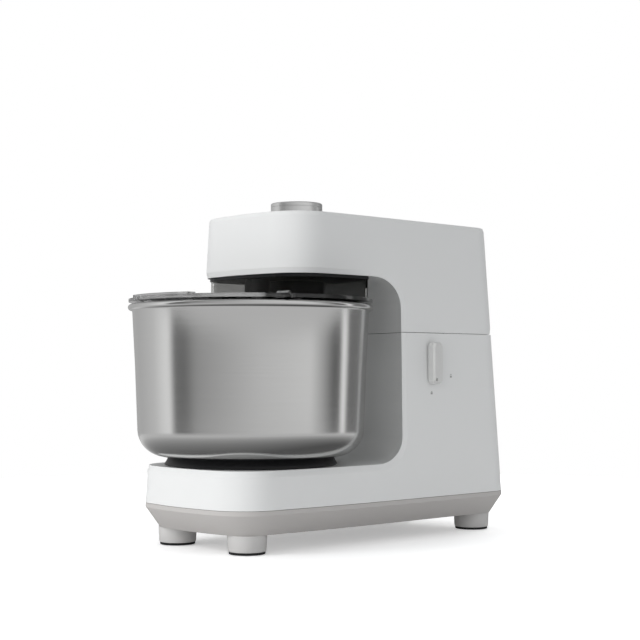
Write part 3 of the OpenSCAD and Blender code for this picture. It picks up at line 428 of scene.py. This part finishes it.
def rounded_level(up, inward):
    """The head's outline a little above the seam, drawn in at the rear corners alone"""
    z = seam_z + up
    level = []
    for near, far in zip(rear_plan(z, -stand_off), rear_plan(z, inward)):
        share = min(1, max(0, (near[1] - rounding_y) / rounding_run))
        level.append(tuple(a + (b - a) * share for a, b in zip(near, far)))
    return level


def rear_corners(grow=0):
    """A cutter that rounds the head's lower edge at the rear corners"""
    corners = box("rear_corners", (-0.13, 0.19, seam_z - 0.0015), (0.13, 0.24, seam_z + 0.0125))
    kept = [rounded_level(up, inward + grow) for up, inward in corner_rounding]
    kept += [rounded_level(up, -stand_off) for up in (0.0102, 0.013)]
    return carve(corners, stack("rounded_corners", kept))


base_casing = split(casing, "base_casing", seam_z, False)
head_casing = split(casing, "head_casing", seam_z + seam_gap, True)
inside = carve(blocks(wall), barrel(wall))
carve(base_casing, split(inside, "base_inside", seam_z - wall, False))
head_inside = split(inside, "head_inside", seam_z - 0.001, True)
carve(head_inside, rear_corners(wall))
carve(head_casing, head_inside)
carve(head_casing, rear_corners())
bpy.data.objects.remove(inside)
bpy.data.objects.remove(casing)

# The column's top has an opening for the coupling, slots for the hinge's ears and one for the latch.
# The base's top has a hole for the bowl's bearings, and the back one for the cord's inlet.
column_y = (bowl_y + barrel_r + rear_y(seam_z)) / 2
lever_y = bowl_y + 0.1874
hinge_r = 0.0105
hinge_z = seam_z + seam_gap + hinge_r
hinge_y = rear_y(hinge_z) - hinge_r - 0.0002
under_top, over_top = 0.22, 0.23
coupling_r, bearing_r, inlet_r, stem_r = 0.021, 0.0184, 0.00702, 0.0045
carve(base_casing, rod("coupling_hole", (0, column_y, under_top), (0, column_y, over_top), coupling_r))
latch_x, latch_half_w, latch_half_l = 0.078, 0.010, 0.023
carve(base_casing, box("latch_slot", (latch_x - latch_half_w, lever_y - latch_half_l, under_top),
                       (latch_x + latch_half_w, lever_y + latch_half_l, over_top)))
for side in (1, -1):
    ear_x = side * 0.051
    carve(base_casing, box("ear_slot", (ear_x - 0.005, hinge_y - 0.034, under_top),
                           (ear_x + 0.005, hinge_y - 0.011, over_top)))
carve(base_casing, rod("bearing_hole", (0, bowl_y, 0.08), (0, bowl_y, 0.09), bearing_r))
inlet_x, inlet_z = -0.06, 0.058
carve(base_casing, rod("inlet_hole", (inlet_x, 0.2, inlet_z), (inlet_x, 0.24, inlet_z), inlet_r))

# A low rib on the column's top stands just inside the head's walls, so that nothing shows through
# the seam. It stops short of the barrel.
rib_out, rib_in = 0.0042, 0.0056
seam_rib = stack("seam_rib", [rear_plan(seam_z + up, rib_out) for up in (-0.001, 0.0005)])
carve(seam_rib, stack("seam_rib_inside", [rear_plan(seam_z + up, rib_in) for up in (-0.002, 0.002)]))
carve(seam_rib, box("seam_rib_front", (-0.12, -0.1, 0.22), (0.12, 0.118, 0.24)))
carve(base_casing, seam_rib, "UNION")

# The head's lower rear edge is rounded about the hinge, so that it clears the column as it tilts.
# The knob's stem goes through a hole in its top.
edge = box("rear_edge", (-0.11, hinge_y, 0.2255), (0.11, hinge_y + 0.03, hinge_z))
carve(edge, rod("hinge_round", (-0.12, hinge_y, hinge_z), (0.12, hinge_y, hinge_z), hinge_r, 96))
carve(head_casing, edge)
knob_y = bowl_y + 0.066
carve(head_casing, rod("stem_hole", (0, knob_y, 0.345), (0, knob_y, 0.355), stem_r))


def finish(piece, body, slot, material, *stands_for, angle=30):
    """Smooths a finished piece, dresses it and puts it on its body in place of the plain solids"""
    choose(piece)
    bpy.ops.object.shade_smooth_by_angle(angle=math.radians(angle))
    piece.data.materials.clear()
    piece.data.materials.append(material)
    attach(piece, body)
    if stands_for:
        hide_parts(*stands_for)


def surface(name, color, roughness, metallic=0.0, **sockets):
    """A new material whose shader has the given plain values"""
    material = bpy.data.materials.new(name)
    material.use_nodes = True
    shader = material.node_tree.nodes["Principled BSDF"]
    shader.inputs["Base Color"].default_value = (*color, 1)
    shader.inputs["Roughness"].default_value = roughness
    shader.inputs["Metallic"].default_value = metallic
    for socket, value in sockets.items():
        shader.inputs[socket.replace("_", " ")].default_value = value
    return material


def vary(material, noise, depth, tint, rough):
    """Lets a noise raise a surface finely, and move its colour and roughness about their values"""
    tree = material.node_tree
    shader = tree.nodes["Principled BSDF"]
    link = tree.links.new
    bump = add_node(tree, "Bump", Strength=1.0, Distance=depth)
    link(noise.outputs["Fac"], bump.inputs["Height"])
    link(bump.outputs["Normal"], shader.inputs["Normal"])
    if tint:
        shades = add_node(tree, "MapRange", To_Min=1 - tint, To_Max=1 + tint)
        shade = add_node(tree, "VectorMath", "SCALE")
        shade.inputs[0].default_value = shader.inputs["Base Color"].default_value[:3]
        link(noise.outputs["Fac"], shades.inputs["Value"])
        link(shades.outputs["Result"], shade.inputs["Scale"])
        link(shade.outputs["Vector"], shader.inputs["Base Color"])
    if rough:
        plain = shader.inputs["Roughness"].default_value
        span = add_node(tree, "MapRange", To_Min=plain - rough, To_Max=plain + rough)
        link(noise.outputs["Fac"], span.inputs["Value"])
        link(span.outputs["Result"], shader.inputs["Roughness"])


def grain(material, scale, depth, stretch=(1, 1, 1), tint=0.0, rough=0.0):
    """An even fine grain, stretched where the finish has a direction"""
    tree = material.node_tree
    place = add_node(tree, "TexCoord")
    mapping = add_node(tree, "Mapping", Scale=stretch)
    noise = add_node(tree, "TexNoise", Scale=scale, Detail=3.0)
    tree.links.new(place.outputs["Object"], mapping.inputs["Vector"])
    tree.links.new(mapping.outputs["Vector"], noise.inputs["Vector"])
    vary(material, noise, depth, tint, rough)


white_coat = surface("white_powder_coat", (0.84, 0.845, 0.84), 0.42)
grain(white_coat, 1400, 0.00004, tint=0.015, rough=0.04)
finish(base_casing, "root", "white", white_coat, "body_shell", angle=11)
finish(head_casing, "head", "white", white_coat, "head_shell", angle=11)

# ---- Feet and their pads ----
# Four plain feet of grey moulded plastic, a little wider at the top, each with a black rubber pad
# on its underside. They are screwed up into the pan.
front_foot_x, front_foot_y = 0.0575, bowl_y - 0.0546
rear_foot_x, rear_foot_y = 0.062, bowl_y + 0.2886
foot_places = [(-front_foot_x, front_foot_y), (front_foot_x, front_foot_y),
               (-rear_foot_x, rear_foot_y), (rear_foot_x, rear_foot_y)]


def repeat(piece, places):
    """Copies a piece that is drawn on the middle axis to each place, as one mesh"""
    copies = []
    for x, y in places:
        other = piece.copy()
        other.data = piece.data.copy()
        bpy.context.scene.collection.objects.link(other)
        other.location = (x, y, 0)
        copies.append(other)
    name = piece.name
    bpy.data.objects.remove(piece)
    bpy.ops.object.select_all(action="DESELECT")
    for other in copies:
        other.select_set(True)
    bpy.context.view_layer.objects.active = copies[0]
    bpy.ops.object.transform_apply(location=True, rotation=True, scale=True)
    bpy.ops.object.join()
    copies[0].name = name
    return copies[0]


foot_top, foot_low, foot_r, screw_r, pad_r = 0.0197, 0.0025, 0.0206, 0.006, 0.0188
foot = turned("feet_moulded", [(screw_r, foot_top), (0.0202, foot_top), (foot_r, 0.0193), (0.0197, 0.0033),
                               (0.0194, 0.0028), (pad_r, foot_low), (screw_r, foot_low)], y=0, steps=64)
foot_grey = surface("foot_grey_plastic", (0.62, 0.61, 0.60), 0.5)
grain(foot_grey, 1600, 0.00003, tint=0.02, rough=0.05)
finish(repeat(foot, foot_places), "root", "foot_grey", foot_grey, "feet", angle=40)
pad = turned("foot_pads_rubber", [(0.0, foot_low), (pad_r, foot_low), (pad_r, 0.0004), (0.0184, 0.0),
                                  (0.0150, 0.0), (0.0145, 0.0004), (0.0, 0.0004)], y=0, steps=64)
pad_black = surface("pad_black_rubber", (0.012, 0.012, 0.013), 0.75)
grain(pad_black, 2500, 0.00005, tint=0.1)
finish(repeat(pad, foot_places), "root", "rubber", pad_black, "foot_pads", angle=40)

# ---- Grey pan under the base ----
# One tray of grey moulded plastic that closes the casing from below, held by four screws. An upright
# band stands flush under the casing with a thin seam between, and below it the side slopes in.
pan_z, slope_z = foot_top, 0.041
lip_in, tray_in = 0.0034, 0.0054


def base_levels(*levels):
    """The base's outline at each height, drawn in by the inset that goes with it"""
    return [plan(z, base_front, base_corner, inset) for z, inset in levels]


pan = stack("pan_moulded", base_levels((pan_z, 0.0158), (pan_z + 0.0003, 0.0153), (slope_z, 0),
                                       (casing_z - 0.0007, 0), (casing_z - 0.0004, 0.0003)))
pan_inside = stack("pan_inside", base_levels((pan_z + 0.003, 0.0175), (slope_z, tray_in),
                                             (casing_z + 0.004, tray_in)))
carve(pan, stack("pan_lip", base_levels((casing_z - 0.001, lip_in), (casing_z + 0.003, lip_in))), "UNION")
carve(pan, pan_inside)
pan_screw_x, pan_screw_ys, screw_hole_r = 0.072, (bowl_y - 0.03, bowl_y + 0.262), 0.0044
for x in (-pan_screw_x, pan_screw_x):
    for y in pan_screw_ys:
        carve(pan, rod("screw_hole", (x, y, pan_z - 0.001), (x, y, pan_z + 0.0012), screw_hole_r))
pan_grey = surface("pan_grey_plastic", (0.56, 0.54, 0.525), 0.55)
grain(pan_grey, 1600, 0.00003, tint=0.02, rough=0.05)
finish(pan, "root", "pan_grey", pan_grey, "base_pan")

# ---- Turntable ----
# A black moulded plastic disc on the bowl's spindle, which flares toward its foot and turns just
# above the base. The bowl's locking ring drops into its top.
table_z, table_r, seat_r = base_z + 0.0006, 0.0920, 0.0624
table_top, table_seat = table_z + 0.0091, table_z + 0.0058
turntable = turned("turntable_disc", [
    (0.0, table_z), (0.0914, table_z), (table_r, table_z + 0.0005), (table_r, table_z + 0.0016),
    (0.0904, table_z + 0.0040), (0.0884, table_z + 0.0083), (0.0878, table_z + 0.0089),
    (0.0868, table_top), (seat_r, table_top), (seat_r, table_seat), (0.0, table_seat)], steps=128)
satin_black = surface("satin_black_plastic", (0.008, 0.008, 0.009), 0.45, Specular_IOR_Level=0.25)
grain(satin_black, 1800, 0.00003, tint=0.1, rough=0.05)
finish(turntable, "bowl_drive", "turntable_black", satin_black, "turntable", angle=35)

# ---- Bowl ----
# A deep drawn steel bowl with a rounded foot, a side that opens a little toward the top and a rim
# rolled over a wire. Its outside is brushed round and round, which draws the light into upright streaks.
bowl_z, rim_z = 0.0950, 0.2527
bowl_flat_r, bowl_curve_r = 0.092, 0.029
bend_r, bend_z = 0.1235, bowl_z + 0.0967
roll_r, roll_x, steel_t = 0.00329, 0.1277, 0.0012
bowl = turned("bowl_drawn", [(0.0, bowl_z)]
              + arc(bowl_flat_r, bowl_z + bowl_curve_r, bowl_curve_r, -90, 0, 18)
              + [(bend_r, bend_z), (0.12638, rim_z - 0.0042)]
              + arc(roll_x, rim_z, roll_r, -105, 160, 20)
              + [(0.1253, rim_z - 0.0012), (bend_r - steel_t, bend_z)]
              + arc(bowl_flat_r, bowl_z + bowl_curve_r, bowl_curve_r - steel_t, 0, -90, 18)
              + [(0.0, bowl_z + steel_t)], steps=192)


def brush_round(material, y, rings, depth, tint, rough):
    """Fine grooves that run round an upright axis: noise that is very fine in height and long round it"""
    strokes = 1.2
    tree = material.node_tree
    link = tree.links.new
    place = add_node(tree, "TexCoord")
    centre = add_node(tree, "Mapping", Location=(0, -y, 0))
    parts = add_node(tree, "SeparateXYZ")
    turn = add_node(tree, "Math", "ARCTAN2")
    around = add_node(tree, "Math", "MULTIPLY")
    around.inputs[1].default_value = strokes
    flat = add_node(tree, "VectorMath", "MULTIPLY")
    flat.inputs[1].default_value = (1, 1, 0)
    radius = add_node(tree, "VectorMath", "LENGTH")
    height_rings = add_node(tree, "Math", "MULTIPLY")
    height_rings.inputs[1].default_value = rings
    radius_rings = add_node(tree, "Math", "MULTIPLY")
    radius_rings.inputs[1].default_value = rings
    join = add_node(tree, "CombineXYZ")
    noise = add_node(tree, "TexNoise", Scale=1.0, Detail=4.0)
    link(place.outputs["Object"], centre.inputs["Vector"])
    link(centre.outputs["Vector"], parts.inputs["Vector"])
    link(centre.outputs["Vector"], flat.inputs[0])
    link(flat.outputs["Vector"], radius.inputs[0])
    link(parts.outputs["Y"], turn.inputs[0])
    link(parts.outputs["X"], turn.inputs[1])
    link(turn.outputs[0], around.inputs[0])
    link(parts.outputs["Z"], height_rings.inputs[0])
    link(radius.outputs["Value"], radius_rings.inputs[0])
    link(around.outputs[0], join.inputs["X"])
    link(height_rings.outputs[0], join.inputs["Y"])
    link(radius_rings.outputs[0], join.inputs["Z"])
    link(join.outputs["Vector"], noise.inputs["Vector"])
    vary(material, noise, depth, tint, rough)


brushed = surface("steel_brushed_round", (0.55, 0.55, 0.545), 0.17, 1.0)
brush_round(brushed, bowl_y, 2400, 0.00002, 0.05, 0.05)
finish(bowl, "bowl_drive", "bowl_steel", brushed, "bowl", angle=40)

# ---- Locking lever ----
# A solid metal handle on the side of the column, with bevelled ends and a dimple near its lower
# end. It is fixed to a shaft, and turns from the closed mark to the open one to free the head.
lever_w, lever_l, lever_t, pill_round = 0.0157, 0.0466, 0.0090, 0.34
lever_z = base_z + 0.1087
lever_x = half_width(lever_z - lever_l / 2) + 0.0008
handle_y = lever_y - 0.0024
dimple_y, dimple_z, dimple_r = lever_y - 0.0058, lever_z - 0.0182, 0.0017


def pill(x, width, length):
    """The handle's rounded outline at a distance from the column"""
    corner = width * pill_round
    half = []
    for cy, cz, start in ((1, 1, 0), (-1, 1, 90), (-1, -1, 180), (1, -1, 270)):
        half += arc(cy * (width / 2 - corner), cz * (length / 2 - corner), corner, start, start + 90, 6)
    return [(lever_x + x, handle_y + y, lever_z + z) for y, z in half]


lever = stack("lever_handle", [pill(0, lever_w, lever_l), pill(lever_t - 0.0019, lever_w, lever_l),
                               pill(lever_t - 0.0003, lever_w - 0.0030, lever_l - 0.0030),
                               pill(lever_t, lever_w - 0.0036, lever_l - 0.0036)])
carve(lever, rod("dimple", (lever_x + lever_t - 0.004, dimple_y, dimple_z),
                 (lever_x + lever_t + 0.001, dimple_y, dimple_z), dimple_r, 24))
satin_metal = surface("satin_metal", (0.80, 0.80, 0.79), 0.30, 0.30)
grain(satin_metal, 900, 0.00002, stretch=(1, 1, 0.05), tint=0.04, rough=0.05)
finish(lever, "lever", "lever_metal", satin_metal, "lock_lever", angle=25)

# ---- Marks beside the lever ----
# A closed padlock below the lever and an open one beside it, each under 4 mm high. They are printed
# in thin grey relief on the side of the column and show which way the lever turns.
mark_t, mark_half_w, mark_half_h = 0.0004, 0.0015, 0.0011
shackle_r, shackle_inner_r = 0.0012, 0.0007
mark_grey = surface("mark_grey_print", (0.42, 0.42, 0.41), 0.5)
grain(mark_grey, 1600, 0.00002, tint=0.03)


def padlock(name, y, z, lift):
    """A small padlock on the column's side, its shackle raised by the lift when it is open"""
    skin = side_x(z, y) - mark_t / 2
    face = skin + mark_t
    mark = box(name, (skin, y - mark_half_w, z - mark_half_h), (face, y + mark_half_w, z + mark_half_h))
    foot = z + 0.0009 + lift
    shackle = arc(0, 0, shackle_r, 0, 180, 12) + arc(0, 0, shackle_inner_r, 180, 0, 12)
    shackle = [(y + a, foot + 0.0004 + b) for a, b in shackle]
    return carve(mark, stack(name, [[(x, a, b) for a, b in shackle] for x in (skin, face)]), "UNION")


finish(padlock("mark_closed", bowl_y + 0.1829, 0.1605, 0), "root", "foot_grey", mark_grey)
finish(padlock("mark_open", bowl_y + 0.216, 0.179, 0.0006), "root", "foot_grey", mark_grey)

# ---- Hubs under the head ----
# Two plastic hubs under the plate that closes the nose from below. The hook's black one turns with
# its spindle, and the breaker bar's grey one is fixed in front of it.
lid_z = 0.2584
hook_y, breaker_y = knob_y, bowl_y + 0.009
hub_low = lid_z - 0.003
plate_low = head_z - 0.0033
hub_top = plate_low - 0.0008
hub_r, breaker_hub_r = 0.0316, 0.0134
hub = turned("hub_hook", [(0.0, hub_low), (0.0262, hub_low), (0.0272, hub_low + 0.0004),
                          (0.0311, hub_low + 0.0036), (hub_r, hub_low + 0.0046),
                          (hub_r, plate_low - 0.0012), (0.0312, hub_top), (0.0, hub_top)], y=hook_y)
finish(hub, "hook_drive", "hub_black", satin_black, "hook_hub", angle=35)
breaker_hub = turned("hub_breaker", [(0.0, hub_low), (0.0100, hub_low), (0.0108, hub_low + 0.0004),
                                     (0.0131, hub_low + 0.0037), (breaker_hub_r, hub_low + 0.0044),
                                     (breaker_hub_r, plate_low), (0.0, plate_low)], y=breaker_y, steps=64)
hub_grey = surface("hub_grey_plastic", (0.10, 0.10, 0.10), 0.55)
grain(hub_grey, 1600, 0.00003, tint=0.05)
finish(breaker_hub, "head", "hub_grey", hub_grey, "breaker_hub", angle=35)

# ---- Breaker bar and spiral hook ----
# Polished steel tools that hang in the bowl: a straight bar with a round end, and a round rod bent
# into a spiral that drives the dough against the bar.
rod_r, breaker_r = 0.0065, 0.007
tool_low = bowl_z + steel_t + 0.008
breaker_top = hub_low + 0.013
polished = surface("steel_polished", (0.60, 0.60, 0.59), 0.22, 1.0)
grain(polished, 700, 0.00001, stretch=(1, 1, 0.1), tint=0.03, rough=0.04)
breaker = turned("breaker_rod", [(0.0, breaker_top), (breaker_r, breaker_top)]
                 + arc(0, tool_low + breaker_r, breaker_r, 0, -90, 8), y=breaker_y, steps=48)
finish(breaker, "head", "steel", polished, "breaker_bar", angle=35)
hook_top = hub_low + 0.007
coil_r, coil_turns, stem = 0.037, 1.6, 0.024
widening, falling, drawing_in, end_share = 0.24, 0.9, 0.88, 0.35


def hook_point(t):
    """A point on the spiral, which widens below its stem, falls, and draws in at its end"""
    wide = math.sin(math.radians(90 * min(1, t / widening)))
    late = max(0, (t - drawing_in) / (1 - drawing_in))
    reach = coil_r * (wide - end_share * late * late * (3 - 2 * late))
    turn = math.tau * coil_turns * t
    fall = hook_top - stem - rod_r - tool_low
    z = hook_top - stem - fall * min(1, t / falling)
    return (reach * math.sin(turn), hook_y - reach * math.cos(turn), z)


hook_line = [(0, hook_y, hook_top), (0, hook_y, hook_top - stem * 0.5)]
hook_line += [hook_point(i / 96) for i in range(97)]
curve = bpy.data.curves.new("hook_line", "CURVE")
curve.dimensions = "3D"
curve.bevel_depth = rod_r
curve.bevel_resolution = 6
curve.use_fill_caps = True
spline = curve.splines.new("POLY")
spline.points.add(len(hook_line) - 1)
for point, place in zip(spline.points, hook_line):
    point.co = (*place, 1)
hook = bpy.data.objects.new("hook_rod", curve)
bpy.context.scene.collection.objects.link(hook)
choose(hook)
bpy.ops.object.convert(target="MESH")
hook = bpy.context.object
hook.name = "hook_rod"
finish(hook, "hook_drive", "steel", polished, "spiral_hook", angle=45)

# ---- Rib on the head's rear cover ----
# A low rib across the black moulded plate that closes the head above the seam. With the rib on the
# column's top it keeps the light from showing through the seam.
rib_half_w, rib_front, rib_back = 0.084, 0.1652, 0.1668
rib_low, rib_high = seam_z + 0.0012, seam_z + 0.0038
rear_rib = box("rear_cover_rib", (-rib_half_w, rib_front, rib_low), (rib_half_w, rib_back, rib_high))
finish(rear_rib, "head", "pulley_black", satin_black)

# ---- Clear lid ----
# A smoky clear plastic plate over the bowl with a raised edge, joined to the head by a clear skirt.
# Its front part is a flap on two small knuckles, with a raised tab to lift it by. Their shapes come
# with the frame, so only the plastic is added here.
smoky = surface("smoky_plastic", (0.34, 0.34, 0.34), 0.08,
                Transmission_Weight=1.0, IOR=1.45, Specular_IOR_Level=0.2)
grain(smoky, 120, 0.00002, rough=0.02)
clear = surface("clear_plastic", (0.38, 0.38, 0.375), 0.0,
                Transmission_Weight=1.0, IOR=1.12, Specular_IOR_Level=0.1)
grain(clear, 120, 0.000004)


def dress(material, *names):
    """Gives a finish to pieces that keep their own shapes"""
    for name in names:
        nodes[name].data.materials.clear()
        nodes[name].data.materials.append(material)


dress(smoky, "lid_plate", "lid_flap")
dress(clear, "lid_skirt")

# ---- Knob ----
# A turned aluminium knob with a fine groove near its top, over a dark ring. It sits on a stem that
# turns and is pressed.
ring_r, ring_bore_r, ring_top = 0.0272, 0.005, top_z + 0.0022
knob_ring = turned("knob_ring_turned", [(ring_bore_r, top_z), (ring_r, top_z), (ring_r, ring_top - 0.0004),
                                        (0.0268, ring_top), (ring_bore_r, ring_top)], y=knob_y)
ring_dark = surface("ring_dark_plastic", (0.06, 0.06, 0.062), 0.4)
grain(ring_dark, 1600, 0.00003, tint=0.08)
finish(knob_ring, "head", "ring_dark", ring_dark, "knob_ring", angle=35)
low, high = ring_top + 0.0019, ring_top + 0.0155
knob_r, groove_r, bore_r, bore_top = 0.0284, 0.0280, 0.00305, low + 0.0063
knob = turned("knob_turned", [(bore_r, low), (groove_r, low), (knob_r, low + 0.0004),
                              (knob_r, high - 0.0048), (groove_r, high - 0.0046),
                              (groove_r, high - 0.0042), (knob_r, high - 0.0040),
                              (knob_r, high - 0.0009), (0.0275, high), (0.0248, high),
                              (0.0244, high - 0.0008), (0.0, high - 0.0008), (0.0, bore_top),
                              (bore_r, bore_top)], y=knob_y, steps=128)
turned_metal = surface("aluminium_turned", (0.66, 0.66, 0.655), 0.38, 1.0)
brush_round(turned_metal, knob_y, 3000, 0.00002, 0.06, 0.05)
finish(knob, "knob_turn", "knob_metal", turned_metal, "knob", angle=30)

# ---- Parts inside and underneath ----
# Castings, shafts, bearings, pulleys, belts, screws, the motor and the control board keep their
# own shapes and get their finishes here.
cast = surface("cast_aluminium", (0.48, 0.48, 0.49), 0.5, 1.0)
grain(cast, 500, 0.0002, tint=0.08, rough=0.08)
dress(cast, "chassis", "bowl_bearing_housing", "motor_can", "motor_end_plate", "hinge_bracket",
      "head_frame")
dress(polished, "bowl_bearings", "main_bearing", "head_shaft_bearings", "spindle_bearings", "hinge_pin",
      "bowl_spindle", "bowl_lock_ring", "main_shaft", "head_shaft", "hook_spindle", "lever_shaft",
      "latch_cam", "latch_catch", "flap_pins", "knob_stem")
dress(satin_black, "head_underplate", "bowl_pulley", "main_pulley", "lower_coupling", "upper_coupling",
      "head_pulley", "hook_pulley", "head_rear_cover", "lever_bush", "knob_encoder")
dress(pad_black, "cord_inlet", "bowl_belt", "hook_belt")
zinc = surface("zinc_plated_steel", (0.42, 0.42, 0.43), 0.36, 1.0)
grain(zinc, 1200, 0.00003, tint=0.06, rough=0.06)
dress(zinc, "foot_screws", "pan_screws", "chassis_screws", "motor_screws", "frame_screws", "pin_clips")
copper = surface("enamelled_copper", (0.62, 0.30, 0.14), 0.35, 1.0)
grain(copper, 300, 0.0002, stretch=(1, 1, 6), tint=0.12, rough=0.08)
dress(copper, "motor_rotor")
board = surface("green_board", (0.03, 0.16, 0.07), 0.4)
grain(board, 900, 0.00003, tint=0.15, rough=0.08)
dress(board, "control_board")
